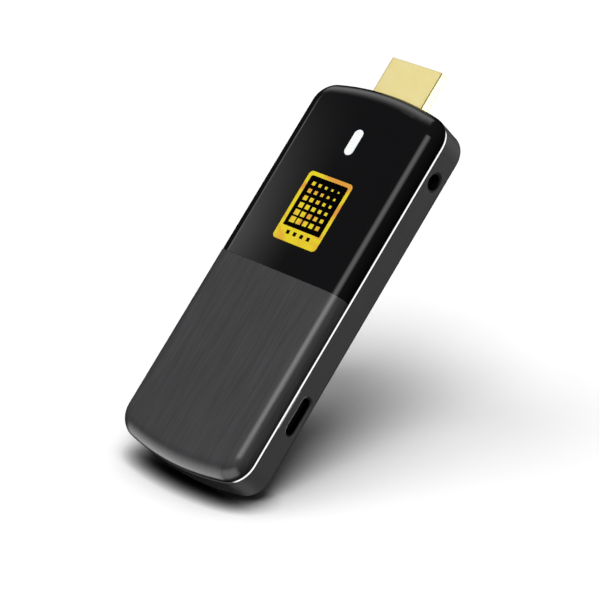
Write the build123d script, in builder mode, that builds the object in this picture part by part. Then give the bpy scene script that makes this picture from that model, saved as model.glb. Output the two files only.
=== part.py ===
from build123d import *
import os

# A plug-in television streaming stick, lying on its back with its shiny face up.
# Sizes are in millimetres. The origin is on the underside, midway along the body and its width.
# +X points to the side with the two sockets, +Y to the video plug and +Z to the top face.

os.makedirs("parts", exist_ok=True)

# Body shell
body_width = 35.5
body_length = 89.5
end_radius = 64.0
corner_radius = 5.8
trim_height = 0.8
cover_height = 3.6
case_wall = 1.4
case_floor = 1.0
case_edge = 0.35
parting_bevel = 0.12
trim_bevel = 0.08

# Covers
rim_land = 0.25
cover_top = 1.3
skirt_wall = 0.8
skirt_depth = 1.8
skirt_gap = 0.1
cavity_rim = 1.5
seam_gap = 0.06
gloss_setback = 0.1
shelf_gap = 0.1
shelf_wall = 0.9
shelf_reach = 3.0
shelf_root = 1.5
catch_length = 6.0
catch_height = 0.5
catch_reach = 0.35
catch_drop = 1.6
catch_gap = 0.06
catch_from_seam = 9.0
gloss_catch_from_front = 20.75
brushed_catch_from_end = 11.75

# Light window
light_from_front = 13.35
light_length = 6.2
light_width = 2.3
light_gap = 0.06
light_flange = 1.0
light_flange_height = 0.6
light_stem_inset = 0.35
light_edge = 0.12
led_air = 0.2

# Badge
badge_y = 14.5
badge_width = 12.2
badge_length = 16.3
badge_corner = 1.0
badge_gap = 0.05
badge_plate_height = 0.18
badge_foil_height = 0.07
badge_line = 0.9
badge_band = 2.4
badge_mark = 0.9
badge_mark_pitch = 1.9
badge_mark_count = 4
pixel_pitch = 1.75
pixel_columns = 5
pixel_rows = 6
pixel_large = 1.4
pixel_shrink = 0.11

# Main board and the four screws that hold it
board_thickness = 1.0
board_edge_gap = 0.35
board_gap = 0.15
screw_from_side = 4.55
spreader_screw_y = 9.0
socket_boss_gap = 2.98
screw_radius = 0.75
screw_length = 3.8
screw_gap = 0.05
screw_head_radius = 1.35
screw_head_height = 0.8
screw_slot = 0.4
screw_slot_length = 1.7
screw_slot_depth = 0.4
boss_radius = 2.2

# Video plug, at its standard outside size
plug_width = 13.9
plug_height = 4.45
plug_narrow = 10.0
plug_bevel_height = 1.9
plug_corner = 0.45
plug_drop = 0.1
plug_lintel = 0.155
plug_exposed = 8.9
plug_inside = 3.5
plug_sheet = 0.3
plug_gap = 0.12
plug_tip_bevel = 0.12
plug_core_gap = 0.02
plug_core_recess = 0.6
plug_cavity_width = 10.6
plug_cavity_depth = 8.0
plug_contact_width = 0.45
plug_contact_height = 0.15
plug_contact_show = 0.1
plug_contact_pitch = 1.0
plug_contact_recess = 1.0
plug_upper_contacts = 10
plug_lower_contacts = 9
plug_tail = 2.2
plug_ear_length = 3.0
plug_ear_height = 0.9
cradle_width = 8.0
cradle_depth = 1.2

# Power socket, hung under the board
socket_y = -24.35
socket_floor_gap = 0.14
socket_width = 8.94
socket_height = 3.26
socket_sheet = 0.3
socket_length = 7.35
socket_recess = 0.45
socket_gap = 0.1
socket_mouth_bevel = 0.1
socket_leg_width = 0.9
socket_leg_gap = 0.15
socket_leg_pitch = 3.6
socket_leg_rise = 0.3
tongue_width = 6.7
tongue_height = 0.7
tongue_length = 4.0
tongue_base = 2.9
socket_contact_count = 12
socket_contact_pitch = 0.5
socket_contact_width = 0.26
socket_contact_height = 0.1
socket_contact_show = 0.02
socket_contact_recess = 0.4
socket_tail_upper = 0.4
socket_tail_lower = 0.9

# Round audio socket, sunk through a notch in the board
jack_from_front = 13.25
jack_floor_gap = 0.31
jack_bore = 1.8
jack_nose_radius = 2.05
jack_hole_gap = 0.12
jack_nose_recess = 0.4
jack_body_width = 6.0
jack_body_height = 4.2
jack_body_length = 11.4
jack_body_gap = 0.1
jack_bore_length = 10.5
jack_hole_bevel = 0.15
jack_contact_spots = (3.0, 7.5)
jack_contact_width = 1.0
jack_contact_sheet = 0.25
jack_contact_rise = 2.8
jack_web = 0.25
jack_channel_gap = 0.1
jack_tail = 1.6
jack_tail_height = 0.15

# Processor, its pads and the metal plate that spreads its heat
processor_y = 12.6
processor_size = 15.0
processor_height = 1.3
package_edge = 0.3
mark_radius = 0.4
mark_depth = 0.1
pad_height = 0.6
spreader_screw_gap = 0.35
spreader_front = 20.6
spreader_back = -7.4
spreader_plate = 0.9
spreader_foot_height = 0.8
spreader_foot_length = 4.0
spreader_foot_margin = 1.8
fin_width = 0.8
fin_height = 1.2
fin_margin = 1.2
fin_count = 10
fin_start = 2.6

# Other packages on the board
memory_places = ((-5.4, -1.4), (5.4, -1.4))
memory_width = 9.0
memory_length = 10.6
memory_height = 1.0
flash_place = (0.0, -8.0)
flash_width = 11.5
flash_length = 13.0
flash_height = 1.0
module_place = (-7.2, -17.5)
module_size = 12.0
module_board = 0.6
module_can_margin = 0.4
module_can_height = 1.3
module_can_sheet = 0.2
power_chip_size = 5.0
power_chip_height = 0.85
inductor_size = 3.8
inductor_height = 1.8
crystal_from_side = 7.75
crystal_from_front = 20.75
crystal_width = 2.5
crystal_length = 3.2
crystal_height = 0.7
capacitor_pitch_x = 2.4
capacitor_pitch_y = 2.2
capacitor_columns = 6
capacitor_rows = 2
capacitor_width = 0.8
capacitor_length = 1.6
capacitor_height = 0.8
choke_from_front = 4.9
choke_pitch = 2.4
choke_count = 4
choke_width = 1.2
choke_length = 2.0
choke_height = 0.9
led_width = 0.8
led_length = 1.6
led_height = 0.5

# Power supply, at offsets in X and Y from the rear of the power socket
power_chip_offset = (-5.35, 10.75)
inductor_offsets = ((-6.55, 3.95), (-1.95, 3.95), (2.65, 8.95))
capacitor_offset = (-6.35, -3.65)

# Folded metal aerial at the end away from the plug
aerial_from_end = 6.15
aerial_width = 18.0
aerial_sheet = 0.25
aerial_lift = 1.0
aerial_height = 3.2
aerial_flange = 2.4
aerial_leg_width = 1.0
aerial_leg_x = (-7.0, -4.0)

# Reset switch behind a pinhole in the floor
reset_from_side = 6.75
reset_from_front = 17.75
pinhole_radius = 0.75
reset_size = 3.5
reset_body_height = 1.2
reset_roof = 0.2
reset_plate = 0.2
reset_well_radius = 1.3
reset_flange_gap = 0.15
reset_flange_height = 0.4
reset_stem_radius = 0.75
reset_stem_drop = 0.7
reset_run_gap = 0.08
reset_rest_gap = 0.03

# Vents and the shallow bare recess in the floor
vent_y = 8.0
vent_length = 9.0
vent_width = 1.2
vent_pitch = 2.6
vent_rows = 7
vent_spread = 13.0
recess_y = -25.0
recess_width = 22.0
recess_length = 22.0
recess_depth = 0.2
recess_corner = 1.5

# Levels that follow from the sizes above, from the floor up
socket_middle = case_floor + socket_floor_gap + socket_height / 2
board_base = socket_middle + socket_height / 2
board_top = board_base + board_thickness
jack_middle = case_floor + jack_floor_gap + jack_body_height / 2
plug_middle = board_base - plug_drop
plug_top = plug_middle + plug_height / 2
plug_bottom = plug_middle - plug_height / 2
case_height = plug_top + plug_gap + plug_lintel
cover_base = case_height + trim_height
body_height = cover_base + cover_height

# Places that follow from the sizes above
rim_radius = cover_height - rim_land
side_face = body_width / 2
front_end = body_length / 2
gloss_catches = (catch_from_seam, front_end - gloss_catch_from_front)
brushed_catches = (-catch_from_seam, brushed_catch_from_end - front_end)
light_y = front_end - light_from_front
jack_y = front_end - jack_from_front
aerial_y = aerial_from_end - front_end
board_inset = case_wall + board_edge_gap
screw_x = side_face - screw_from_side
end_screw_y = socket_y - socket_width / 2 - boss_radius - socket_boss_gap
skirt_inset = case_wall + skirt_gap
cavity_inset = skirt_inset + skirt_wall
cover_inside = body_height - cover_top
catch_base = cover_base - catch_drop
plug_tip = front_end + plug_exposed
plug_rear = front_end - plug_inside
plug_core_rear = plug_rear - plug_core_recess
board_front = plug_core_rear - board_gap
plug_cavity_top = board_top + plug_contact_show
plug_cavity_height = 2 * (plug_cavity_top - plug_middle)
plug_cavity_bottom = plug_cavity_top - plug_cavity_height
socket_mouth = side_face - socket_recess
socket_rear = socket_mouth - socket_length
tongue_root = socket_rear + tongue_base
jack_mouth = side_face - jack_nose_recess
jack_front = side_face - case_wall - jack_body_gap
jack_back = jack_front - jack_body_length
jack_hole_radius = jack_nose_radius + jack_hole_gap
jack_top = jack_middle + jack_body_height / 2
spreader_width = 2 * (screw_x - screw_head_radius - spreader_screw_gap)
fin_pitch = (spreader_width - 2 * fin_margin - fin_width) / (fin_count - 1)
choke_centre = (0, board_front - choke_from_front)
crystal_place = (crystal_from_side - side_face, front_end - crystal_from_front)
reset_place = (reset_from_side - side_face, front_end - reset_from_front)
reset_flange_radius = reset_well_radius - reset_flange_gap
pad_base = board_top + processor_height
spreader_base = pad_base + pad_height
spreader_top = spreader_base + spreader_plate
foot_top = board_top + spreader_foot_height
badge_base = body_height - badge_plate_height - badge_foil_height
badge_foil_base = body_height - badge_foil_height
reset_body_base = board_base - reset_body_height
reset_plate_base = reset_body_base - reset_plate
aerial_base = board_top + aerial_lift
aerial_top = board_top + aerial_height


def body_plan(inset, height):
    """Outline of the body as a face at a height, drawn in from the outside by an inset."""
    with BuildSketch(Plane.XY.offset(height)) as plan:
        Rectangle(body_width - 2 * inset, 2 * end_radius)
        for end in (-1, 1):
            with Locations((0, end * (front_end - end_radius))):
                Circle(end_radius - inset, mode=Mode.INTERSECT)
        fillet(plan.vertices(), corner_radius - inset)
    return plan.sketch


def cover_cavity(inset):
    """Room under the covers, with a rounded upper rim, drawn in by an inset."""
    with BuildPart() as cavity:
        extrude(
            body_plan(cavity_inset + inset, cover_base - skirt_depth),
            amount=cover_inside - inset - cover_base + skirt_depth,
        )
        fillet(cavity.faces().sort_by(Axis.Z)[-1].edges(), cavity_rim - inset)
    return cavity.part


def plug_section(grow, y):
    """Outline of the video plug, wide side up, on a plane across Y, drawn out by grow."""
    shoulder = plug_bottom + plug_bevel_height
    with BuildSketch(Plane.XZ.offset(-y)) as section:
        with BuildLine():
            Polyline(
                (-plug_width / 2, plug_top),
                (plug_width / 2, plug_top),
                (plug_width / 2, shoulder),
                (plug_narrow / 2, plug_bottom),
                (-plug_narrow / 2, plug_bottom),
                (-plug_width / 2, shoulder),
                close=True,
            )
        make_face()
        fillet(section.vertices(), plug_corner)
        if grow:
            offset(amount=grow)
    return section.sketch


def plug_way():
    """Space that the case and the covers leave for the plug, open towards the covers."""
    with BuildPart() as way:
        extrude(plug_section(plug_gap, plug_tip), amount=plug_tip - plug_rear)
        with BuildSketch(Plane.XZ.offset(-plug_tip)):
            with Locations((0, (plug_middle + cover_base) / 2)):
                Rectangle(plug_width + 2 * plug_gap, cover_base - plug_middle)
        extrude(amount=plug_tip - plug_rear)
    return way.part


def socket_section(grow, x):
    """Flat-sided oval of the power socket on a plane across X, drawn out by grow."""
    with BuildSketch(Plane.YZ.offset(x)) as section:
        with Locations((socket_y, socket_middle)):
            SlotOverall(socket_width + 2 * grow, socket_height + 2 * grow)
    return section.sketch


def catches(centres, gap):
    """Snap catches along both long walls, grown by a gap where they stand for pockets."""
    depth = catch_reach + skirt_wall / 2
    outer = side_face - skirt_inset + catch_reach + gap
    with BuildPart() as bumps:
        with BuildSketch(Plane.XY.offset(catch_base - gap)):
            for side in (-1, 1):
                for y in centres:
                    with Locations((side * (outer - depth / 2), y)):
                        Rectangle(depth, catch_length + 2 * gap)
        extrude(amount=catch_height + 2 * gap)
    return bumps.part


def cover_shell(setback, centres):
    """Cover over the whole body: a round-rimmed shell, a skirt inside the case and catches."""
    cavity = cover_cavity(0)
    way = plug_way()
    bumps = catches(centres, 0)
    with BuildPart() as shell:
        extrude(body_plan(setback, cover_base), amount=cover_height)
        fillet(shell.faces().sort_by(Axis.Z)[-1].edges(), rim_radius)
        chamfer(shell.faces().sort_by(Axis.Z)[0].edges(), parting_bevel)
        extrude(body_plan(skirt_inset, cover_base - skirt_depth), amount=skirt_depth)
        add(bumps)
        add(cavity, mode=Mode.SUBTRACT)
        add(way, mode=Mode.SUBTRACT)
    return shell.part


def from_socket(offset):
    """Place on the board at an offset from the rear of the power socket."""
    return (socket_rear + offset[0], socket_y + offset[1])


def packages(base, height, width, length, places):
    """Flat packages of one size at the given places, each with a dimple at its first corner."""
    mark_x = width / 2 - 2 * mark_radius
    mark_y = length / 2 - 2 * mark_radius
    with BuildPart() as group:
        with BuildSketch(Plane.XY.offset(base)):
            with Locations(*places):
                RectangleRounded(width, length, package_edge)
        extrude(amount=height)
        with BuildSketch(Plane.XY.offset(base + height)):
            for x, y in places:
                with Locations((x - mark_x, y + mark_y)):
                    Circle(mark_radius)
        extrude(amount=-mark_depth, mode=Mode.SUBTRACT)
    return group


def bars(base, height, width, length, centre, pitch, columns, rows=1):
    """Rows of equal bars at a pitch, given as a pair, round a centre."""
    with BuildPart() as group:
        with BuildSketch(Plane.XY.offset(base)):
            with Locations(centre):
                with GridLocations(*pitch, columns, rows):
                    Rectangle(width, length)
        extrude(amount=height)
    return group


# Lower case
case_way = plug_way()
case_pockets = catches(gloss_catches + brushed_catches, catch_gap)
with BuildPart() as lower_case:
    extrude(body_plan(0, 0), amount=case_height)
    fillet(lower_case.faces().sort_by(Axis.Z)[0].edges(), case_edge)
    chamfer(lower_case.faces().sort_by(Axis.Z)[-1].edges(), parting_bevel)
    extrude(body_plan(case_wall, case_floor), amount=case_height, mode=Mode.SUBTRACT)
    # Bosses that carry the board
    with BuildSketch(Plane.XY.offset(case_floor)):
        for boss_y in (spreader_screw_y, end_screw_y):
            with Locations((-screw_x, boss_y), (screw_x, boss_y)):
                Circle(boss_radius)
                Circle(screw_radius + screw_gap, mode=Mode.SUBTRACT)
    extrude(amount=board_base - case_floor)
    # Cradle that the plug lies in
    with BuildSketch(Plane.XY.offset(case_floor)):
        with Locations((0, front_end - case_wall - cradle_depth / 2)):
            Rectangle(cradle_width, cradle_depth + case_wall)
    extrude(amount=plug_bottom - case_floor)
    add(case_way, mode=Mode.SUBTRACT)
    add(case_pockets, mode=Mode.SUBTRACT)
    # Oval hole for the power socket and round hole for the audio socket
    extrude(socket_section(socket_gap, side_face), amount=-2 * case_wall, mode=Mode.SUBTRACT)
    with BuildSketch(Plane.YZ.offset(side_face)):
        with Locations((jack_y, jack_middle)):
            Circle(jack_hole_radius)
    extrude(amount=-2 * case_wall, mode=Mode.SUBTRACT)
    # Vents, pinhole and bare recess in the floor
    with BuildSketch(Plane.XY):
        with Locations((0, vent_y)):
            with GridLocations(vent_spread, vent_pitch, 2, vent_rows):
                SlotOverall(vent_length, vent_width)
        with Locations(reset_place):
            Circle(pinhole_radius)
    extrude(amount=case_floor, mode=Mode.SUBTRACT)
    with BuildSketch(Plane.XY):
        with Locations((0, recess_y)):
            RectangleRounded(recess_width, recess_length, recess_corner)
    extrude(amount=recess_depth, mode=Mode.SUBTRACT)
    side_rims = lower_case.edges().filter_by_position(Axis.X, side_face, side_face)
    socket_rims = side_rims.filter_by(GeomType.CIRCLE)
    chamfer(socket_rims, jack_hole_bevel)

# Bright trim ring between the case and the covers
with BuildPart() as trim_ring:
    extrude(body_plan(0, case_height), amount=trim_height)
    chamfer(trim_ring.edges().group_by(Axis.Z)[0], trim_bevel)
    chamfer(trim_ring.faces().sort_by(Axis.Z)[-1].edges(), trim_bevel)
    extrude(body_plan(case_wall, case_height), amount=trim_height, mode=Mode.SUBTRACT)

# Gloss cover, with a shelf under the brushed cover's edge
gloss_shell = cover_shell(gloss_setback, gloss_catches)
shelf_room = cover_cavity(0)
shelf_outside = cover_cavity(shelf_gap)
shelf_inside = cover_cavity(shelf_gap + shelf_wall)
with BuildPart() as shelf_lip:
    add(shelf_outside)
    split(bisect_by=Plane.XZ, keep=Keep.TOP)
    split(bisect_by=Plane.XZ.offset(shelf_reach), keep=Keep.BOTTOM)
with BuildPart() as shelf_base:
    add(shelf_room)
    split(bisect_by=Plane.XZ, keep=Keep.BOTTOM)
    split(bisect_by=Plane.XZ.offset(-shelf_root), keep=Keep.TOP)
with BuildPart() as seam_shelf:
    add(shelf_lip.part)
    add(shelf_base.part)
    add(shelf_inside, mode=Mode.SUBTRACT)
    split(bisect_by=Plane.XY.offset(cover_base), keep=Keep.TOP)
with BuildPart() as gloss_cover:
    add(gloss_shell)
    split(bisect_by=Plane.XZ.offset(-seam_gap / 2), keep=Keep.BOTTOM)
    add(seam_shelf.part)
    with BuildSketch(Plane.XY.offset(body_height)):
        with Locations((0, light_y)):
            SlotOverall(light_length + 2 * light_gap, light_width + 2 * light_gap, rotation=90)
    extrude(amount=-cover_top, mode=Mode.SUBTRACT)
    with BuildSketch(Plane.XY.offset(body_height)):
        with Locations((0, badge_y)):
            RectangleRounded(
                badge_width + 2 * badge_gap,
                badge_length + 2 * badge_gap,
                badge_corner + badge_gap,
            )
    extrude(amount=badge_base - body_height, mode=Mode.SUBTRACT)

# Brushed cover
brushed_shell = cover_shell(0, brushed_catches)
with BuildPart() as brushed_cover:
    add(brushed_shell)
    split(bisect_by=Plane.XZ.offset(seam_gap / 2), keep=Keep.TOP)

# Badge: a dark plate with a foil frame, a field of shrinking squares and a marked band
with BuildPart() as badge_plate:
    with BuildSketch(Plane.XY.offset(badge_base)):
        with Locations((0, badge_y)):
            RectangleRounded(badge_width, badge_length, badge_corner)
    extrude(amount=badge_plate_height)
field_width = badge_width - 2 * badge_line
field_length = badge_length - 2 * badge_line
field_corner = badge_corner - badge_line / 2
band_y = badge_y - field_length / 2 + badge_band / 2
pixel_y = badge_y + badge_band / 2
with BuildPart() as badge_foil:
    with BuildSketch(Plane.XY.offset(badge_foil_base)):
        with Locations((0, badge_y)):
            RectangleRounded(badge_width, badge_length, badge_corner)
            RectangleRounded(field_width, field_length, field_corner, mode=Mode.SUBTRACT)
        with Locations((0, band_y)):
            Rectangle(field_width, badge_band)
            with GridLocations(badge_mark_pitch, 0, badge_mark_count, 1):
                Rectangle(badge_mark, badge_mark, mode=Mode.SUBTRACT)
        for column in range(pixel_columns):
            for row in range(pixel_rows):
                x = (column - (pixel_columns - 1) / 2) * pixel_pitch
                y = pixel_y + (row - (pixel_rows - 1) / 2) * pixel_pitch
                with Locations((x, y)):
                    pixel_side = pixel_large - pixel_shrink * (column + row)
                    Rectangle(pixel_side, pixel_side)
    extrude(amount=badge_foil_height)

# Light guide from the lamp on the board to the window in the gloss cover
stem_length = light_length - 2 * light_stem_inset
stem_width = light_width - 2 * light_stem_inset
stem_foot = board_top + led_height + led_air
with BuildPart() as light_guide:
    with BuildSketch(Plane.XY.offset(cover_inside)):
        with Locations((0, light_y)):
            SlotOverall(light_length, light_width, rotation=90)
    extrude(amount=cover_top)
    fillet(light_guide.faces().sort_by(Axis.Z)[-1].edges(), light_edge)
    with BuildSketch(Plane.XY.offset(cover_inside)):
        with Locations((0, light_y)):
            SlotOverall(light_length + 2 * light_flange, light_width + 2 * light_flange, rotation=90)
    extrude(amount=-light_flange_height)
    with BuildSketch(Plane.XY.offset(stem_foot)):
        with Locations((0, light_y)):
            SlotOverall(stem_length, stem_width, rotation=90)
    extrude(amount=cover_inside - stem_foot)

# Video plug shell, with two side ears that stand on the board
with BuildPart() as video_plug_shell:
    extrude(plug_section(0, plug_tip), amount=plug_tip - plug_rear)
    chamfer(video_plug_shell.faces().sort_by(Axis.Y)[-1].edges(), plug_tip_bevel)
    with BuildSketch(Plane.XY.offset(board_top)):
        for side in (-1, 1):
            with Locations((side * (plug_width - plug_sheet) / 2, plug_rear)):
                Rectangle(plug_sheet, 2 * plug_ear_length)
    extrude(amount=plug_ear_height)
    extrude(plug_section(-plug_sheet, plug_tip), amount=2 * plug_tip, mode=Mode.SUBTRACT)

# Video plug contacts: strips that run from the cavity back to their tails on the board
strip_front = plug_tip - plug_core_recess - plug_contact_recess
tail_end = board_front - plug_tail
riser_front = plug_core_rear + plug_contact_height
lower_strip_base = plug_cavity_bottom + plug_contact_show - plug_contact_height


def plug_strips(base, height, front, rear, count):
    """One level of a row of plug contacts, between two places along Y."""
    return bars(
        base,
        height,
        plug_contact_width,
        front - rear,
        (0, (front + rear) / 2),
        (plug_contact_pitch, 0),
        count,
    )


video_plug_contacts_upper = plug_strips(
    board_top, plug_contact_height, strip_front, tail_end, plug_upper_contacts
)
lower_levels = (
    (lower_strip_base, plug_contact_height, strip_front, plug_core_rear),
    (lower_strip_base, board_base - lower_strip_base, riser_front, plug_core_rear),
    (board_base - plug_contact_height, plug_contact_height, riser_front, tail_end),
)
lower_strips = [plug_strips(*level, plug_lower_contacts) for level in lower_levels]
with BuildPart() as video_plug_contacts_lower:
    for strip in lower_strips:
        add(strip.part)

# Video plug core, the moulding that holds both rows of contacts round the cavity
core_front = plug_tip - plug_core_recess
with BuildPart() as video_plug_core:
    extrude(
        plug_section(-plug_sheet - plug_core_gap, core_front),
        amount=core_front - plug_core_rear,
    )
    with BuildSketch(Plane.XZ.offset(-core_front)):
        with Locations((0, plug_middle)):
            Rectangle(plug_cavity_width, plug_cavity_height)
    extrude(amount=plug_cavity_depth, mode=Mode.SUBTRACT)
    add(video_plug_contacts_upper.part, mode=Mode.SUBTRACT)
    add(video_plug_contacts_lower.part, mode=Mode.SUBTRACT)

# Power socket shell, with four legs up through the board
leg_outer = side_face - cavity_inset - socket_leg_gap - socket_leg_width / 2
leg_places = [
    (leg_outer - step * socket_leg_pitch, side) for step in (0, 1) for side in (-1, 1)
]
leg_y = (socket_width - socket_sheet) / 2
with BuildPart() as power_socket_shell:
    extrude(socket_section(0, socket_rear), amount=socket_length)
    with BuildSketch(Plane.XY.offset(socket_middle)):
        for leg_x, side in leg_places:
            with Locations((leg_x, socket_y + side * leg_y)):
                Rectangle(socket_leg_width, socket_sheet)
    extrude(amount=board_top + socket_leg_rise - socket_middle)
    extrude(socket_section(-socket_sheet, socket_rear), amount=socket_length, mode=Mode.SUBTRACT)
    mouth_edges = power_socket_shell.faces().sort_by(Axis.X)[-1].edges()
    chamfer(mouth_edges, socket_mouth_bevel)

# Power socket contacts: two rows on the tongue that turn up to the board behind the shell
strip_end = tongue_root + tongue_length - socket_contact_recess
strip_rise = tongue_height / 2 + socket_contact_show
with BuildPart() as power_socket_contacts:
    for face, tail in ((1, socket_tail_upper), (-1, socket_tail_lower)):
        strip_start = socket_rear - tail
        strip_low = socket_middle + min(face * strip_rise, face * (strip_rise - socket_contact_height))
        with BuildSketch(Plane.XY.offset(strip_low)):
            with Locations(((strip_start + strip_end) / 2, socket_y)):
                with GridLocations(0, socket_contact_pitch, 1, socket_contact_count):
                    Rectangle(strip_end - strip_start, socket_contact_width)
        extrude(amount=socket_contact_height)
        with BuildSketch(Plane.XY.offset(strip_low)):
            with Locations((strip_start + socket_contact_height / 2, socket_y)):
                with GridLocations(0, socket_contact_pitch, 1, socket_contact_count):
                    Rectangle(socket_contact_height, socket_contact_width)
        extrude(amount=board_base - strip_low)

# Power socket tongue, the moulding that closes the shell's back
with BuildPart() as power_socket_tongue:
    extrude(socket_section(-socket_sheet, socket_rear), amount=tongue_base)
    with BuildSketch(Plane.YZ.offset(tongue_root)):
        with Locations((socket_y, socket_middle)):
            Rectangle(tongue_width, tongue_height)
    extrude(amount=tongue_length)
    add(power_socket_contacts.part, mode=Mode.SUBTRACT)

# Audio socket body, with a side channel for each contact
channel_inner = jack_bore + jack_web
channel_base = jack_top - jack_contact_rise
jack_contact_places = [
    (jack_back + spot, side) for spot in jack_contact_spots for side in (-1, 1)
]
with BuildPart() as audio_jack_body:
    with BuildSketch(Plane.YZ.offset(jack_back)):
        with Locations((jack_y, jack_middle)):
            Rectangle(jack_body_width, jack_body_height)
    extrude(amount=jack_body_length)
    with BuildSketch(Plane.YZ.offset(jack_front)):
        with Locations((jack_y, jack_middle)):
            Circle(jack_nose_radius)
    extrude(amount=jack_mouth - jack_front)
    with BuildSketch(Plane.YZ.offset(jack_mouth)):
        with Locations((jack_y, jack_middle)):
            Circle(jack_bore)
    extrude(amount=-jack_bore_length, mode=Mode.SUBTRACT)
    with BuildSketch(Plane.XY.offset(channel_base)):
        for contact_x, side in jack_contact_places:
            channel_middle = (channel_inner + jack_body_width / 2) / 2
            with Locations((contact_x, jack_y + side * channel_middle)):
                Rectangle(
                    jack_contact_width + 2 * jack_channel_gap,
                    jack_body_width / 2 - channel_inner,
                )
    extrude(amount=jack_contact_rise, mode=Mode.SUBTRACT)

# Audio socket contacts, each an upright strip with a tail on the board
tail_reach = jack_body_width / 2 + jack_tail
with BuildPart() as audio_jack_contacts:
    with BuildSketch(Plane.XY.offset(channel_base)):
        for contact_x, side in jack_contact_places:
            strip_y = channel_inner + jack_contact_sheet / 2
            with Locations((contact_x, jack_y + side * strip_y)):
                Rectangle(jack_contact_width, jack_contact_sheet)
    extrude(amount=board_top - channel_base + jack_tail_height)
    with BuildSketch(Plane.XY.offset(board_top)):
        for contact_x, side in jack_contact_places:
            tail_y = (channel_inner + tail_reach) / 2
            with Locations((contact_x, jack_y + side * tail_y)):
                Rectangle(jack_contact_width, tail_reach - channel_inner)
    extrude(amount=jack_tail_height)

# Main board, with its screw holes, leg slots and the notch for the audio socket
with BuildPart() as main_board:
    extrude(body_plan(board_inset, board_base), amount=board_thickness)
    split(bisect_by=Plane.XZ.offset(-board_front), keep=Keep.TOP)
    notch_back = jack_back - board_gap
    with BuildSketch(Plane.XY.offset(board_base)):
        with Locations(((notch_back + side_face) / 2, jack_y)):
            Rectangle(side_face - notch_back, jack_body_width + 2 * board_gap)
        for hole_y in (spreader_screw_y, end_screw_y):
            with Locations((-screw_x, hole_y), (screw_x, hole_y)):
                Circle(screw_radius + board_gap)
        for leg_x, side in leg_places:
            with Locations((leg_x, socket_y + side * leg_y)):
                Rectangle(socket_leg_width + board_gap, socket_sheet + board_gap)
    extrude(amount=board_thickness, mode=Mode.SUBTRACT)

# Screws that hold the board, two of them through the feet of the heat spreader
with BuildPart() as board_screws:
    for seat, screw_y in ((foot_top, spreader_screw_y), (board_top, end_screw_y)):
        screw_spots = ((-screw_x, screw_y), (screw_x, screw_y))
        with BuildSketch(Plane.XY.offset(seat)):
            with Locations(*screw_spots):
                Circle(screw_head_radius)
        extrude(amount=screw_head_height)
        with BuildSketch(Plane.XY.offset(seat)):
            with Locations(*screw_spots):
                Circle(screw_radius)
        extrude(amount=-screw_length)
        with BuildSketch(Plane.XY.offset(seat + screw_head_height)):
            with Locations(*screw_spots):
                Rectangle(screw_slot_length, screw_slot)
                Rectangle(screw_slot, screw_slot_length)
        extrude(amount=-screw_slot_depth, mode=Mode.SUBTRACT)

# Chips on the board, one of them on its underside
system_chip = packages(
    board_top, processor_height, processor_size, processor_size, [(0, processor_y)]
)
memory_chips = packages(board_top, memory_height, memory_width, memory_length, memory_places)
flash_chip = packages(
    board_base - flash_height, flash_height, flash_width, flash_length, [flash_place]
)
power_chip_place = from_socket(power_chip_offset)
power_chip = packages(
    board_top, power_chip_height, power_chip_size, power_chip_size, [power_chip_place]
)
inductor_places = [from_socket(offset) for offset in inductor_offsets]
power_inductors = packages(
    board_top, inductor_height, inductor_size, inductor_size, inductor_places
)
crystal = packages(board_top, crystal_height, crystal_width, crystal_length, [crystal_place])
wireless_module = packages(board_top, module_board, module_size, module_size, [module_place])

# Soft pads that carry heat from the chips to the spreader
with BuildPart() as thermal_pads:
    with BuildSketch(Plane.XY.offset(pad_base)):
        with Locations((0, processor_y)):
            Rectangle(processor_size, processor_size)
    extrude(amount=pad_height)
    memory_top = board_top + memory_height
    with BuildSketch(Plane.XY.offset(memory_top)):
        with Locations(*memory_places):
            Rectangle(memory_width, memory_length)
    extrude(amount=spreader_base - memory_top)

# Heat spreader: a finned plate on two side legs, screwed down through their feet
foot_reach = screw_x + spreader_foot_margin
spreader_middle = (spreader_front + spreader_back) / 2
fin_length = spreader_front - fin_start
with BuildPart() as heat_spreader:
    with BuildSketch(Plane.XY.offset(spreader_base)):
        with Locations((0, spreader_middle)):
            Rectangle(spreader_width, spreader_front - spreader_back)
    extrude(amount=spreader_plate)
    with BuildSketch(Plane.XY.offset(spreader_top)):
        with Locations((0, fin_start + fin_length / 2)):
            with GridLocations(fin_pitch, 0, fin_count, 1):
                Rectangle(fin_width, fin_length)
    extrude(amount=fin_height)
    with BuildSketch(Plane.XY.offset(board_top)):
        for side in (-1, 1):
            with Locations((side * (spreader_width / 2 - spreader_plate / 2), spreader_screw_y)):
                Rectangle(spreader_plate, spreader_foot_length)
    extrude(amount=spreader_top - board_top)
    with BuildSketch(Plane.XY.offset(board_top)):
        for side in (-1, 1):
            foot_inner = spreader_width / 2 - spreader_plate
            with Locations((side * (foot_inner + foot_reach) / 2, spreader_screw_y)):
                Rectangle(foot_reach - foot_inner, spreader_foot_length)
        with Locations((-screw_x, spreader_screw_y), (screw_x, spreader_screw_y)):
            Circle(screw_radius + board_gap, mode=Mode.SUBTRACT)
    extrude(amount=spreader_foot_height)

# Thin metal can over the wireless module
can_size = module_size - 2 * module_can_margin
can_base = board_top + module_board
can_room = can_size - 2 * module_can_sheet
with BuildPart() as module_can:
    with BuildSketch(Plane.XY.offset(can_base)):
        with Locations(module_place):
            RectangleRounded(can_size, can_size, package_edge)
    extrude(amount=module_can_height)
    with BuildSketch(Plane.XY.offset(can_base)):
        with Locations(module_place):
            Rectangle(can_room, can_room)
    extrude(amount=module_can_height - module_can_sheet, mode=Mode.SUBTRACT)

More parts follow.
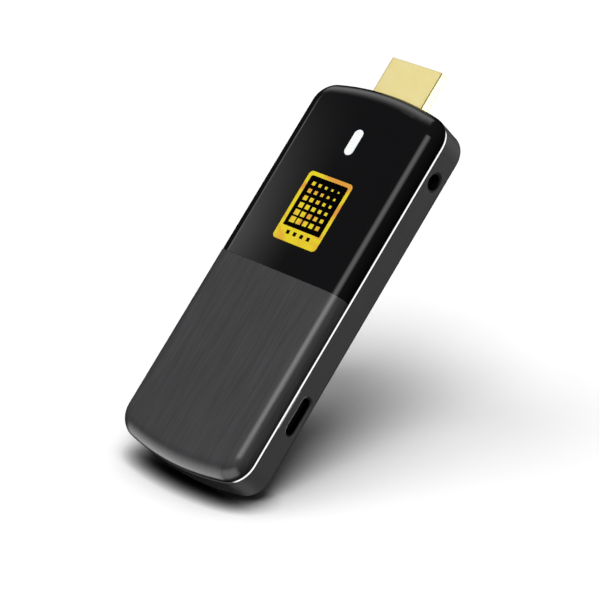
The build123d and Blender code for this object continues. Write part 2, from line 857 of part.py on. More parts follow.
# Capacitors, the filters beside the plug and the status lamp
capacitors = bars(
    board_top,
    capacitor_height,
    capacitor_length,
    capacitor_width,
    from_socket(capacitor_offset),
    (capacitor_pitch_x, capacitor_pitch_y),
    capacitor_columns,
    capacitor_rows,
)
filter_chokes = bars(
    board_top, choke_height, choke_width, choke_length, choke_centre, (choke_pitch, 0), choke_count
)
status_lamp = bars(board_top, led_height, led_width, led_length, (0, light_y), (0, 0), 1)

# Aerial: one folded sheet on two legs
with BuildPart() as aerial:
    with BuildSketch(Plane.XY.offset(aerial_base)):
        with Locations((0, aerial_y)):
            Rectangle(aerial_width, aerial_sheet)
    extrude(amount=aerial_top - aerial_base)
    with BuildSketch(Plane.XY.offset(aerial_top)):
        with Locations((0, aerial_y - aerial_sheet / 2 + aerial_flange / 2)):
            Rectangle(aerial_width, aerial_flange)
    extrude(amount=-aerial_sheet)
    with BuildSketch(Plane.XY.offset(board_top)):
        for leg in aerial_leg_x:
            with Locations((leg, aerial_y)):
                Rectangle(aerial_leg_width, aerial_sheet)
    extrude(amount=aerial_top - board_top)

# Reset switch: a housing with a well, the plate that closes it and the plunger
with BuildPart() as reset_housing:
    with BuildSketch(Plane.XY.offset(reset_body_base)):
        with Locations(reset_place):
            Rectangle(reset_size, reset_size)
    extrude(amount=reset_body_height)
    with BuildSketch(Plane.XY.offset(reset_body_base)):
        with Locations(reset_place):
            Circle(reset_well_radius)
    extrude(amount=reset_body_height - reset_roof, mode=Mode.SUBTRACT)
with BuildPart() as reset_cover_plate:
    with BuildSketch(Plane.XY.offset(reset_plate_base)):
        with Locations(reset_place):
            Rectangle(reset_size, reset_size)
            Circle(reset_stem_radius + reset_run_gap, mode=Mode.SUBTRACT)
    extrude(amount=reset_plate)
with BuildPart() as reset_plunger:
    with BuildSketch(Plane.XY.offset(reset_body_base + reset_rest_gap)):
        with Locations(reset_place):
            Circle(reset_flange_radius)
    extrude(amount=reset_flange_height)
    with BuildSketch(Plane.XY.offset(reset_body_base + reset_rest_gap)):
        with Locations(reset_place):
            Circle(reset_stem_radius)
    extrude(amount=-reset_plate - reset_stem_drop)

pieces = {
    "lower_case": lower_case,
    "trim_ring": trim_ring,
    "gloss_cover": gloss_cover,
    "brushed_cover": brushed_cover,
    "badge_plate": badge_plate,
    "badge_foil": badge_foil,
    "light_guide": light_guide,
    "video_plug_shell": video_plug_shell,
    "video_plug_core": video_plug_core,
    "video_plug_contacts_upper": video_plug_contacts_upper,
    "video_plug_contacts_lower": video_plug_contacts_lower,
    "power_socket_shell": power_socket_shell,
    "power_socket_tongue": power_socket_tongue,
    "power_socket_contacts": power_socket_contacts,
    "audio_jack_body": audio_jack_body,
    "audio_jack_contacts": audio_jack_contacts,
    "main_board": main_board,
    "board_screws": board_screws,
    "system_chip": system_chip,
    "memory_chips": memory_chips,
    "thermal_pads": thermal_pads,
    "heat_spreader": heat_spreader,
    "flash_chip": flash_chip,
    "wireless_module": wireless_module,
    "module_can": module_can,
    "power_chip": power_chip,
    "power_inductors": power_inductors,
    "crystal": crystal,
    "capacitors": capacitors,
    "filter_chokes": filter_chokes,
    "status_lamp": status_lamp,
    "aerial": aerial,
    "reset_housing": reset_housing,
    "reset_cover_plate": reset_cover_plate,
    "reset_plunger": reset_plunger,
}
for name, piece in pieces.items():
    piece.part.label = name
    export_step(piece.part, f"parts/{name}.step")
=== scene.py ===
import math

import bmesh
import bpy
from bpy.props import FloatProperty, FloatVectorProperty, PointerProperty
from mathutils import Matrix, Vector


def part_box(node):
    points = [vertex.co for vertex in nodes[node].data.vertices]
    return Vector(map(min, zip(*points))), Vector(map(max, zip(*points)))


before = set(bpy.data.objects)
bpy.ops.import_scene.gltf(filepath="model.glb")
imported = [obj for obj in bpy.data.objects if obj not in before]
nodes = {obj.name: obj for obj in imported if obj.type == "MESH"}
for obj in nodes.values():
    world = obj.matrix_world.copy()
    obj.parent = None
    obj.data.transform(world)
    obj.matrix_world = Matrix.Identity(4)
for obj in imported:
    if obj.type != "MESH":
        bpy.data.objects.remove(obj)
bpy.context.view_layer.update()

bl_info = {
    "name": "Streaming Stick Looks",
    "version": (1, 0, 0),
    "blender": (4, 5, 0),
    "location": "View3D > Sidebar > Stick",
    "description": "Finishes for the pieces of a plug-in streaming stick, and its studio",
    "category": "Material",
}

# The scene is in metres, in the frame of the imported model. The finishes work in millimetres
MM = 0.001

# Pieces that show on the stick's side, under the trim
SIDE_PIECES = (
    "lower_case",
    "power_socket_shell",
    "power_socket_tongue",
    "audio_jack_body",
)

# Sockets of the main shader that are set often
BASE = "Base Color"
METAL = "Metallic"

# Numbers of the Mix node's colour sockets, because their names don't tell them apart
MIX_FIRST, MIX_SECOND, MIX_RESULT = 6, 7, 2


def grey(level, blue=0.0):
    """A neutral colour of a level, a little cooler by blue."""
    return (level, level, level + blue, 1.0)


def tint(colour, factor=1.0):
    """A setting's colour as a socket takes it, darker or paler by a factor."""
    return (*[value * factor for value in colour], 1)


def add_node(tree, kind, inputs=None, **settings):
    """Adds a shader node. An input given as a socket is joined, and any other is set."""
    node = tree.nodes.new("ShaderNode" + kind)
    for name, value in settings.items():
        setattr(node, name, value)
    for name, value in (inputs or {}).items():
        if isinstance(value, bpy.types.NodeSocket):
            tree.links.new(value, node.inputs[name])
        else:
            node.inputs[name].default_value = value
    return node


class Finish:
    """A material being made: its shader, and short calls that add nodes and join them."""

    def __init__(self, name, **plain):
        """Starts a material. Plain values go to the shader's sockets, with _ for each space."""
        self.material = bpy.data.materials.new(name)
        self.material.use_nodes = True
        self.tree = self.material.node_tree
        self.tree.nodes.clear()
        self.shader = self.add("BsdfPrincipled")
        self.output = self.add("OutputMaterial", {"Surface": self.shader.outputs["BSDF"]})
        for socket, value in plain.items():
            self.shader.inputs[socket.replace("_", " ")].default_value = value
        self.material.diffuse_color = self.shader.inputs[BASE].default_value

    def add(self, kind, inputs=None, **settings):
        """Adds a node to the material."""
        return add_node(self.tree, kind, inputs, **settings)

    def wire(self, socket, source):
        """Joins a source to one of the main shader's sockets."""
        self.tree.links.new(source, self.shader.inputs[socket])

    def millimetres(self, stretch=(1, 1, 1), shift=(0, 0, 0)):
        """Object coordinates in millimetres, stretched along each axis."""
        source = self.add("TexCoord").outputs["Object"]
        scale = [value / MM for value in stretch]
        place = {"Vector": source, "Scale": scale, "Location": shift}
        return self.add("Mapping", place).outputs["Vector"]

    def axis(self, letter, where=None):
        """One coordinate of a vector, or else of the object in millimetres."""
        split = self.add("SeparateXYZ", {"Vector": where or self.millimetres()})
        return split.outputs[letter]

    def noise(self, where, size, detail=2.0, rough=0.5, twist=0.0):
        """Cloudy noise whose clouds are about size across."""
        inputs = {
            "Vector": where,
            "Scale": 1 / size,
            "Detail": detail,
            "Roughness": rough,
            "Distortion": twist,
        }
        return self.add("TexNoise", inputs).outputs["Fac"]

    def cells(self, where, size, out="Distance"):
        """Voronoi cells about size across."""
        return self.add("TexVoronoi", {"Vector": where, "Scale": 1 / size}).outputs[out]

    def spread(self, value, low, high, to_low=0.0, to_high=1.0, smooth=False):
        """Maps a range of values to another, with clamped ends."""
        inputs = {
            "Value": value,
            "From Min": low,
            "From Max": high,
            "To Min": to_low,
            "To Max": to_high,
        }
        kind = "SMOOTHSTEP" if smooth else "LINEAR"
        return self.add("MapRange", inputs, interpolation_type=kind).outputs["Result"]

    def maths(self, operation, first, second=0.0):
        """A math node on one value or two."""
        return self.add("Math", {0: first, 1: second}, operation=operation).outputs[0]

    def weigh(self, first, second, share):
        """Sum of two values, in which the first has this share and the second the rest."""
        first = self.maths("MULTIPLY", first, share)
        return self.maths("ADD", first, self.maths("MULTIPLY", second, 1 - share))

    def blend(self, share, first, second, mode="MIX"):
        """Colour between two colours, by a share."""
        inputs = {0: share, MIX_FIRST: first, MIX_SECOND: second}
        return self.add("Mix", inputs, data_type="RGBA", blend_type=mode).outputs[MIX_RESULT]

    def roughen(self, source, low, high, span=(0.3, 0.7)):
        """Roughness from low to high over a span of the source, which suits most noise."""
        self.wire("Roughness", self.spread(source, *span, low, high))

    def bump(self, height, depth, strength):
        """Relief whose highest points stand depth millimetres over its lowest."""
        inputs = {"Height": height, "Distance": depth * MM, "Strength": strength}
        self.wire("Normal", self.add("Bump", inputs).outputs["Normal"])

    def edges(self, reach, low, high):
        """1 on outer and inner edges and 0 off them, reach millimetres to each side."""
        round_over = self.add("Bevel", {"Radius": reach * MM}, samples=6).outputs["Normal"]
        flat = self.add("NewGeometry").outputs["Normal"]
        inputs = {0: round_over, 1: flat}
        same = self.add("VectorMath", inputs, operation="DOT_PRODUCT").outputs["Value"]
        return self.spread(self.maths("SUBTRACT", 1.0, same), low, high)

    def upward(self):
        """How far the surface faces up, from -1 to 1."""
        return self.axis("Z", self.add("NewGeometry").outputs["Normal"])

    def lines_along_y(self):
        """Direction of brushed lines: along Y, whichever way the surface faces."""
        normal = self.add("NewGeometry").outputs["Normal"]
        across = self.add("CombineXYZ", {"X": 1.0}).outputs["Vector"]
        inputs = {0: across, 1: normal}
        return self.add("VectorMath", inputs, operation="CROSS_PRODUCT").outputs["Vector"]

    def dress(self, slot, *names):
        """Gives the material to these nodes."""
        for name in names:
            node = nodes[name]
            node.data.materials.clear()
            node.data.materials.append(self.material)


def colour_property(name, description, default):
    """A colour to choose."""
    return FloatVectorProperty(
        name=name, description=description, default=default, size=3, subtype="COLOR", min=0, max=1
    )


def share_property(name, description, default):
    """A share from 0 to 1."""
    return FloatProperty(
        name=name, description=description, default=default, subtype="FACTOR", min=0, max=1
    )


def length_property(name, description, default):
    """A length in metres."""
    return FloatProperty(
        name=name, description=description, default=default, subtype="DISTANCE", unit="LENGTH"
    )


def angle_property(name, description, degrees):
    """An angle, given in degrees."""
    return FloatProperty(
        name=name, description=description, default=math.radians(degrees), subtype="ANGLE"
    )


def level_property(name, description, default):
    """Brightness of a lamp on a surface that faces it."""
    return FloatProperty(name=name, description=description, default=default, min=0)


class StickOutside(bpy.types.PropertyGroup):
    """Colours and grain of the pieces that show from outside."""

    case_colour: colour_property("Case", "Matt moulding of the case", (0.051, 0.051, 0.0525))
    case_grain: length_property("Case grain", "Size of the moulded texture's grain", 0.16 * MM)
    gloss_colour: colour_property("Gloss", "Piano black cover", (0.0084, 0.0084, 0.0093))
    gloss_haze: share_property("Gloss haze", "Roughness of the gloss cover", 0.035)
    brushed_dark: colour_property("Brushed, dark", "Dark brushed lines", (0.077, 0.077, 0.08))
    brushed_light: colour_property("Brushed, light", "Light brushed lines", (0.104, 0.104, 0.108))
    brushed_pitch: length_property("Line width", "Width of a brushed line", 0.24 * MM)
    trim_colour: colour_property("Trim", "Bright ring", (0.97, 0.97, 0.98))
    foil_yellow: colour_property("Foil, yellow", "Light patches of the foil", (1.0, 0.8, 0.03))
    foil_orange: colour_property("Foil, orange", "Deep patches of the foil", (0.95, 0.42, 0.06))
    window_colour: colour_property("Window", "Milky light guide", (0.96, 0.96, 0.96))
    plug_colour: colour_property("Plug", "Pale gold plating", (1.0, 0.87, 0.4))


class StickInside(bpy.types.PropertyGroup):
    """Colours of the pieces inside."""

    mask_colour: colour_property("Solder mask", "Board's lacquer", (0.008, 0.05, 0.028))
    trace_colour: colour_property("Tracks", "Copper tracks under lacquer", (0.02, 0.13, 0.06))
    laminate_colour: colour_property("Laminate", "Board's cut edge", (0.42, 0.36, 0.2))
    gold_colour: colour_property("Contacts", "Gold contacts", (0.95, 0.68, 0.28))
    epoxy_colour: colour_property("Epoxy", "Body of a chip", (0.014, 0.014, 0.015))
    pad_colour: colour_property("Pads", "Soft pads on the chips", (0.25, 0.33, 0.42))
    ceramic_colour: colour_property("Ceramic", "Body of a capacitor", (0.4, 0.26, 0.13))
    resin_colour: colour_property("Resin", "Lamp's phosphor", (0.86, 0.8, 0.35))


class StickStudio(bpy.types.PropertyGroup):
    """Camera, lamps and floor."""

    azimuth: angle_property("Azimuth", "Camera's direction round the stick", 74.8)
    elevation: angle_property("Elevation", "Camera's height over the top face", 49.52)
    roll: angle_property("Roll", "Camera's turn about its own axis", -47.58)
    distance: length_property("Distance", "From the camera to its aim", 0.5)
    focal: FloatProperty(
        name="Focal length",
        description="Of the camera's lens",
        default=144.0,
        subtype="DISTANCE_CAMERA",
        unit="CAMERA",
    )
    lean: angle_property("Lean", "Between the floor and the stick, which stands on its end", 45.6)
    floor_colour: colour_property("Floor", "Pale floor", (1.0, 1.0, 1.0))
    fill: share_property("Fill", "Light from all round", 0.103)
    key: level_property("Key", "Level of the key lamp", 0.77)
    key_azimuth: angle_property("Key azimuth", "Direction of the key lamp from +X", 68.1)
    key_elevation: angle_property("Key elevation", "Height of the key lamp", 56.8)
    key_size: angle_property("Key size", "Angle across the key lamp", 41.7)
    second: level_property("Second", "Level of the second lamp", 0.252)
    second_azimuth: angle_property("Second azimuth", "Direction of the second lamp from +X", 131.5)
    second_elevation: angle_property("Second elevation", "Height of the second lamp", 55.8)
    second_size: angle_property("Second size", "Angle across the second lamp", 30.5)
    side: level_property("Side", "Level of the side lamp", 0.3)
    side_azimuth: angle_property("Side azimuth", "Direction of the side lamp from +X", -10.0)
    side_elevation: angle_property("Side elevation", "Height of the side lamp", 35.0)
    side_size: angle_property("Side size", "Angle across the side lamp", 60.0)
    under: level_property("Under", "Level of the lamp under the stick", 0.9)
    under_azimuth: angle_property("Under azimuth", "Direction of the lamp under the stick", 135.0)
    under_elevation: angle_property("Under elevation", "Height of the lamp under the stick", -45.0)
    under_size: angle_property("Under size", "Angle across the lamp under the stick", 40.0)


class StickOperator(bpy.types.Operator):
    """Shared settings of the operators below."""

    bl_options = {"REGISTER", "UNDO"}


class STICK_OT_lower_case(StickOperator):
    """Matt moulded plastic with a fine spark texture, painted shade along the seam and the
    underside, and a painted highlight on the power socket's lip
    """

    bl_idname = "stick.lower_case"
    bl_label = "Lower Case"

    # Heights in millimetres over which it darkens to the trim and clears up from the underside:
    # painted shade at the seam and along the underside
    SEAM_SHADE = (6.55, 6.72)
    FOOT_SHADE = (0.15, 0.9)

    # Height of the power socket's mouth in millimetres, and where the painted highlight on its lip
    # starts and
    # ends: two depths under the mouth's top, a length at either end and a depth behind the mouth
    MOUTH_HEIGHT = 3.26
    LIP_DEPTHS = (0.5, 0.3)
    LIP_END = 0.3
    LIP_BEHIND = 0.2

    def execute(self, context):
        look = context.scene.stick_outside
        finish = Finish("case_plastic", Specular_IOR_Level=0.25)
        where = finish.millimetres()
        grain = finish.noise(where, look.case_grain / MM, detail=3, rough=0.6)
        cloud = finish.noise(where, 9.0, detail=2)
        dark = tint(look.case_colour, 0.88)
        pale = tint(look.case_colour, 1.14)
        mottle = finish.weigh(grain, cloud, 0.6)
        body = finish.blend(finish.spread(mottle, 0.35, 0.65), dark, pale)
        # Painted shade: darker just under the trim and along the underside
        seam_shade = finish.spread(finish.axis("Z", where), *self.SEAM_SHADE, smooth=True)
        body = finish.blend(seam_shade, body, grey(0.006))
        foot_shade = finish.spread(finish.axis("Z", where), *self.FOOT_SHADE, 1.0, 0.0, smooth=True)
        body = finish.blend(foot_shade, body, grey(0.01))
        finish.wire(BASE, finish.blend(self.socket_lip_highlight(finish, where), body, grey(1.0)))
        finish.roughen(grain, 0.46, 0.6)
        finish.bump(grain, 0.012, 0.7)
        finish.dress("case_plastic", "lower_case")
        return {"FINISHED"}

    def socket_lip_highlight(self, finish, where):
        """1 on the upper lip of the hole for the power socket, where a highlight is painted in
        white.
        """
        low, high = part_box("power_socket_shell")
        lip_highlight = finish.edges(0.3, 0.01, 0.08)
        top = low.z / MM + self.MOUTH_HEIGHT
        heights = [top - depth for depth in self.LIP_DEPTHS]
        above = finish.spread(finish.axis("Z", where), *heights)
        middle = (low.y + high.y) / 2 / MM
        reach = (high.y - low.y) / 2 / MM
        along = finish.maths("ABSOLUTE", finish.maths("SUBTRACT", finish.axis("Y", where), middle))
        beside = finish.spread(along, reach - self.LIP_END, reach, 1.0, 0.0)
        face = high.x / MM - self.LIP_BEHIND
        outside = finish.maths("GREATER_THAN", finish.axis("X", where), face)
        lip_highlight = finish.maths("MULTIPLY", lip_highlight, finish.maths("MULTIPLY", above, beside))
        return finish.maths("MULTIPLY", lip_highlight, outside)


class STICK_OT_trim_ring(StickOperator):
    """Bright plated ring with fine lines round it"""

    bl_idname = "stick.trim_ring"
    bl_label = "Trim Ring"

    # Heights in millimetres over which it darkens up to the covers, a painted shade line where
    # they meet
    GROOVE_SHADE = (7.34, 7.46)

    def execute(self, context):
        look = context.scene.stick_outside
        finish = Finish("trim_metal", Metallic=1.0)
        lines = finish.noise(finish.millimetres((0.3, 0.3, 3.0)), 1.0, detail=2)
        cloud = finish.noise(finish.millimetres(), 2.5, detail=3)
        dull = tint(look.trim_colour, 0.96)
        tone = finish.blend(lines, dull, tint(look.trim_colour))
        groove_shade = finish.spread(finish.axis("Z"), *self.GROOVE_SHADE, smooth=True)
        finish.wire(BASE, finish.blend(groove_shade, tone, grey(0.02)))
        finish.roughen(cloud, 0.1, 0.15)
        finish.bump(cloud, 0.001, 0.3)
        finish.dress("trim_metal", "trim_ring")
        return {"FINISHED"}


class STICK_OT_gloss_cover(StickOperator):
    """Piano black with a faint moulding ripple and a touch of haze"""

    bl_idname = "stick.gloss_cover"
    bl_label = "Gloss Cover"

    def execute(self, context):
        look = context.scene.stick_outside
        finish = Finish("gloss_black", IOR=1.5, Coat_Weight=0.15, Coat_Roughness=0.02)
        where = finish.millimetres()
        ripple = finish.noise(where, 3.2, detail=1)
        haze = finish.noise(where, 6.0, detail=4, rough=0.6)
        specks = finish.noise(where, 0.12, detail=2)
        deep = tint(look.gloss_colour, 0.8)
        finish.wire(BASE, finish.blend(specks, deep, tint(look.gloss_colour)))
        finish.roughen(haze, look.gloss_haze, look.gloss_haze + 0.03, span=(0.35, 0.7))
        finish.bump(ripple, 0.0016, 0.5)
        finish.dress("gloss_black", "gloss_cover")
        return {"FINISHED"}


class STICK_OT_brushed_cover(StickOperator):
    """Dark grey with fine brushed lines along the stick"""

    bl_idname = "stick.brushed_cover"
    bl_label = "Brushed Cover"

    # Heights in millimetres over which it clears up from the trim, above a painted shade line at
    # the seam
    SEAM_SHADE = (7.68, 7.85)

    def execute(self, context):
        look = context.scene.stick_outside
        finish = Finish(
            "brushed_grey", Metallic=0.3, Anisotropic=0.3, Coat_Weight=0.88, Coat_Roughness=0.16
        )
        pitch = look.brushed_pitch / MM
        fine = finish.noise(finish.millimetres((1, 0.025, 0.1)), pitch, detail=2, rough=0.5)
        broad = finish.noise(finish.millimetres((1, 0.04, 0.1)), pitch * 5, detail=2)
        cloud = finish.noise(finish.millimetres(), 14.0, detail=2)
        lines = finish.weigh(fine, broad, 0.75)
        tone = finish.spread(finish.weigh(lines, cloud, 0.85), 0.42, 0.66)
        body = finish.blend(tone, tint(look.brushed_dark), tint(look.brushed_light))
        seam_shade = finish.spread(finish.axis("Z"), *self.SEAM_SHADE, 1.0, 0.0, smooth=True)
        finish.wire(BASE, finish.blend(seam_shade, body, grey(0.01)))
        finish.roughen(lines, 0.29, 0.34, span=(0.35, 0.65))
        finish.wire("Tangent", finish.lines_along_y())
        finish.bump(fine, 0.003, 0.2)
        finish.dress("brushed_grey", "brushed_cover")
        return {"FINISHED"}


class STICK_OT_badge(StickOperator):
    """Black plate with a foil that drifts from yellow to orange"""

    bl_idname = "stick.badge"
    bl_label = "Badge"

    def execute(self, context):
        look = context.scene.stick_outside
        plate = Finish("badge_black", Specular_IOR_Level=0.3)
        grain = plate.noise(plate.millimetres(), 0.2, detail=3)
        plate.wire(BASE, plate.blend(grain, grey(0.001), grey(0.002)))
        plate.roughen(grain, 0.2, 0.32)
        plate.dress("badge_black", "badge_plate")
        foil = Finish("gold_foil", Metallic=0.1)
        patches = foil.noise(foil.millimetres(), 5.5, detail=1, twist=0.6)
        shimmer = foil.noise(foil.millimetres(), 0.25, detail=3)
        drift = foil.spread(patches, 0.46, 0.66, smooth=True)
        tone = foil.blend(drift, tint(look.foil_yellow), tint(look.foil_orange))
        dull = foil.blend(foil.spread(shimmer, 0.3, 0.7), grey(0.88), grey(1.0))
        foil.wire(BASE, foil.blend(1.0, tone, dull, "MULTIPLY"))
        foil.roughen(shimmer, 0.3, 0.42)
        foil.bump(shimmer, 0.004, 0.4)
        foil.dress("gold_foil", "badge_foil")
        return {"FINISHED"}


class STICK_OT_light_guide(StickOperator):
    """Milky resin that lets a little light through, with a faint painted glow"""

    bl_idname = "stick.light_guide"
    bl_label = "Light Guide"

    def execute(self, context):
        look = context.scene.stick_outside
        finish = Finish(
            "light_window",
            Roughness=0.25,
            Subsurface_Weight=0.2,
            Subsurface_Scale=0.6 * MM,
            Emission_Strength=0.12,
        )
        cloud = finish.noise(finish.millimetres(), 0.8, detail=3)
        milky = tint(look.window_colour, 0.97)
        tone = finish.blend(cloud, milky, tint(look.window_colour))
        finish.wire(BASE, tone)
        finish.wire("Emission Color", tone)
        finish.bump(cloud, 0.002, 0.3)
        finish.dress("light_window", "light_guide")
        return {"FINISHED"}


class STICK_OT_video_plug(StickOperator):
    """Pale gold shell with drawing lines, and a painted dark reflection along its edges"""

    bl_idname = "stick.video_plug"
    bl_label = "Video Plug"

    # Shares of the plug's red, green and blue in warmer patches, and the colour of the painted
    # dark reflection on its edges
    WARMER = (0.98, 0.95, 0.88)
    DARK_EDGE_REFLECTION = (0.42, 0.4, 0.33, 1)

    def execute(self, context):
        look = context.scene.stick_outside
        shell = Finish("gold_plate", Metallic=0.5)
        lines = shell.noise(shell.millimetres((4.0, 0.12, 4.0)), 0.6, detail=3)
        cloud = shell.noise(shell.millimetres(), 3.0, detail=2)
        warm = (*[value * share for value, share in zip(look.plug_colour, self.WARMER)], 1)
        tone = shell.blend(shell.spread(cloud, 0.3, 0.7), warm, tint(look.plug_colour))
        # Painted dark reflection along the edges
        dark_edge_reflection = shell.edges(0.14, 0.02, 0.2)
        shell.wire(BASE, shell.blend(dark_edge_reflection, tone, self.DARK_EDGE_REFLECTION))
        shell.roughen(lines, 0.25, 0.27)
        shell.bump(lines, 0.001, 0.03)
        shell.dress("gold_plate", "video_plug_shell")
        return {"FINISHED"}


class STICK_OT_black_mouldings(StickOperator):
    """Glass-filled black plastic of the plug's core, the sockets and the reset switch"""

    bl_idname = "stick.black_mouldings"
    bl_label = "Black Mouldings"

    def execute(self, context):
        finish = Finish("black_moulding", Specular_IOR_Level=0.25)
        where = finish.millimetres()
        grain = finish.noise(where, 0.12, detail=3, rough=0.6)
        flecks = finish.noise(finish.millimetres((1, 6, 1)), 0.3, detail=2)
        tone = finish.blend(finish.spread(flecks, 0.55, 0.75), grey(0.003), grey(0.008))
        # Lighter edges: a painted highlight
        finish.wire(BASE, finish.blend(finish.edges(0.1, 0.05, 0.3), tone, grey(0.04)))
        finish.roughen(grain, 0.38, 0.55)
        finish.bump(grain, 0.006, 0.6)
        finish.dress(
            "black_moulding",
            "video_plug_core",
            "power_socket_tongue",
            "audio_jack_body",
            "reset_housing",
            "reset_plunger",
        )
        return {"FINISHED"}


class STICK_OT_contacts(StickOperator):
    """Gold contacts of the plug and both sockets, with rolling lines"""

    bl_idname = "stick.contacts"
    bl_label = "Contacts"

    def execute(self, context):
        look = context.scene.stick_inside
        finish = Finish("contact_gold", Metallic=1.0)
        lines = finish.noise(finish.millimetres((2, 0.2, 2)), 0.08, detail=3)
        cloud = finish.noise(finish.millimetres(), 0.7, detail=3)
        wear = finish.spread(cloud, 0.35, 0.7)
        dull = tint(look.gold_colour, 0.8)
        finish.wire(BASE, finish.blend(wear, tint(look.gold_colour), dull))
        finish.roughen(lines, 0.16, 0.3)
        finish.bump(lines, 0.002, 0.4)
        finish.dress(
            "contact_gold",
            "video_plug_contacts_upper",
            "video_plug_contacts_lower",
            "power_socket_contacts",
            "audio_jack_contacts",
        )
        return {"FINISHED"}


def sheet_metal(name, level, rough, lines_size, depth):
    """Rolled or plated sheet of a grey level, with rolling lines along X and faint stains."""
    finish = Finish(name, Metallic=1.0)
    lines = finish.noise(finish.millimetres((0.15, 3.0, 3.0)), lines_size, detail=3)
    stain = finish.noise(finish.millimetres(), 1.6, detail=4, rough=0.6)
    tone = finish.blend(finish.spread(stain, 0.35, 0.7), grey(level), grey(level * 0.78))
    finish.wire(BASE, tone)
    finish.roughen(lines, rough, rough + 0.14)
    finish.bump(lines, depth, 0.5)
    return finish


class STICK_OT_power_socket(StickOperator):
    """Steel shell of the power socket, painted near black as shade in its hole, with bright tips
    on its soldered legs
    """

    bl_idname = "stick.power_socket"
    bl_label = "Power Socket Shell"

    # Length of the bright tips in millimetres, and the part of it over which they darken; below
    # them the steel is painted near black as shade
    TIP = 0.45
    TIP_FADE = 0.1

    def execute(self, context):
        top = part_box("power_socket_shell")[1].z / MM
        finish = sheet_metal("socket_steel", 0.6, 0.25, 0.3, 0.003)
        tone = finish.shader.inputs[BASE].links[0].from_socket
        unshaded_tips = finish.spread(finish.axis("Z"), top - self.TIP, top - self.TIP + self.TIP_FADE)
        # Painted shade: the steel is near black below the tips
        finish.wire(BASE, finish.blend(unshaded_tips, grey(0.02), tone))
        finish.dress("socket_steel", "power_socket_shell")
        return {"FINISHED"}


class STICK_OT_steel_parts(StickOperator):
    """Tinned sheet of the radio's can, the crystal, the aerial and the reset switch's plate"""

    bl_idname = "stick.steel_parts"
    bl_label = "Tinned Sheet"

    def execute(self, context):
        sheet_metal("can_steel", 0.56, 0.28, 0.5, 0.004).dress(
            "can_steel", "module_can", "crystal", "aerial", "reset_cover_plate"
        )
        return {"FINISHED"}


class STICK_OT_screws(StickOperator):
    """Zinc plated steel with the tool's ring marks on the heads"""

    bl_idname = "stick.screws"
    bl_label = "Board Screws"

    def execute(self, context):
        finish = Finish("screw_steel", Metallic=1.0)
        stain = finish.noise(finish.millimetres(), 0.6, detail=4)
        turned = finish.noise(finish.millimetres((1, 1, 8)), 0.25, detail=2, twist=1.5)
        tone = finish.blend(finish.spread(stain, 0.35, 0.7), grey(0.5, 0.02), grey(0.36, 0.02))
        finish.wire(BASE, tone)
        finish.roughen(turned, 0.24, 0.4)
        finish.bump(turned, 0.006, 0.5)
        finish.dress("screw_steel", "board_screws")
        return {"FINISHED"}


class STICK_OT_boards(StickOperator):
    """Green lacquer over copper tracks and plated holes, with a bare laminate edge"""

    bl_idname = "stick.boards"
    bl_label = "Boards"

    # Millimetres from one to the next: patches whose tracks run one way, the tracks in them,
    # plated holes and the laminate's layers
    PATCH = 4.5
    TRACK_PITCH = 0.45
    HOLE_PITCH = 2.2
    LAYER = 0.2

    def execute(self, context):
        look = context.scene.stick_inside
        finish = Finish("board_laminate", Coat_Weight=0.2, Coat_Roughness=0.2)
        where = finish.millimetres()
        patch = finish.cells(where, self.PATCH, out="Color")
        turn = finish.maths("GREATER_THAN", finish.axis("X", patch), 0.5)
        ways = []
        for letter in ("X", "Y"):
            band = finish.maths("MULTIPLY", finish.axis(letter, where), 1 / self.TRACK_PITCH)
            ways.append(finish.maths("PINGPONG", band, 0.5))
        track = finish.spread(finish.spread(turn, 0.0, 1.0, *ways), 0.3, 0.34)
        present = finish.maths("GREATER_THAN", finish.noise(where, 3.0, detail=1), 0.47)
        track = finish.maths("MULTIPLY", track, present)
        ring = finish.spread(finish.cells(where, self.HOLE_PITCH), 0.13, 0.15, 1.0, 0.0)
        lacquer = finish.blend(track, tint(look.mask_colour), tint(look.trace_colour))
        face = finish.blend(ring, lacquer, grey(0.5))
        height = finish.maths("MULTIPLY", finish.axis("Z", where), 1 / self.LAYER)
        layers = finish.spread(finish.maths("PINGPONG", height, 0.5), 0.3, 0.4)
        edge = finish.blend(layers, tint(look.laminate_colour), tint(look.laminate_colour, 0.6))
        flat = finish.maths("GREATER_THAN", finish.maths("ABSOLUTE", finish.upward()), 0.7)
        finish.wire(BASE, finish.blend(flat, edge, face))
        finish.wire(METAL, finish.maths("MULTIPLY", ring, flat))
        finish.roughen(track, 0.34, 0.26, span=(0, 1))
        relief = finish.maths("ADD", track, finish.maths("MULTIPLY", ring, 0.8))
        finish.bump(relief, 0.03, 0.6)
        finish.dress("board_laminate", "main_board", "wireless_module")
        return {"FINISHED"}


class STICK_OT_chips(StickOperator):
    """Black epoxy with a fine moulded grain"""

    bl_idname = "stick.chips"
    bl_label = "Chips"

    def execute(self, context):
        look = context.scene.stick_inside
        finish = Finish("chip_epoxy", Specular_IOR_Level=0.4)
        where = finish.millimetres()
        grain = finish.noise(where, 0.1, detail=3, rough=0.6)
        cloud = finish.noise(where, 3.0, detail=2)
        pale = tint(look.epoxy_colour, 1.8)
        tone = finish.spread(finish.weigh(grain, cloud, 0.6), 0.35, 0.65)
        finish.wire(BASE, finish.blend(tone, tint(look.epoxy_colour), pale))
        finish.roughen(cloud, 0.42, 0.58)
        finish.bump(grain, 0.01, 0.7)
        finish.dress("chip_epoxy", "system_chip", "memory_chips", "flash_chip", "power_chip")
        return {"FINISHED"}


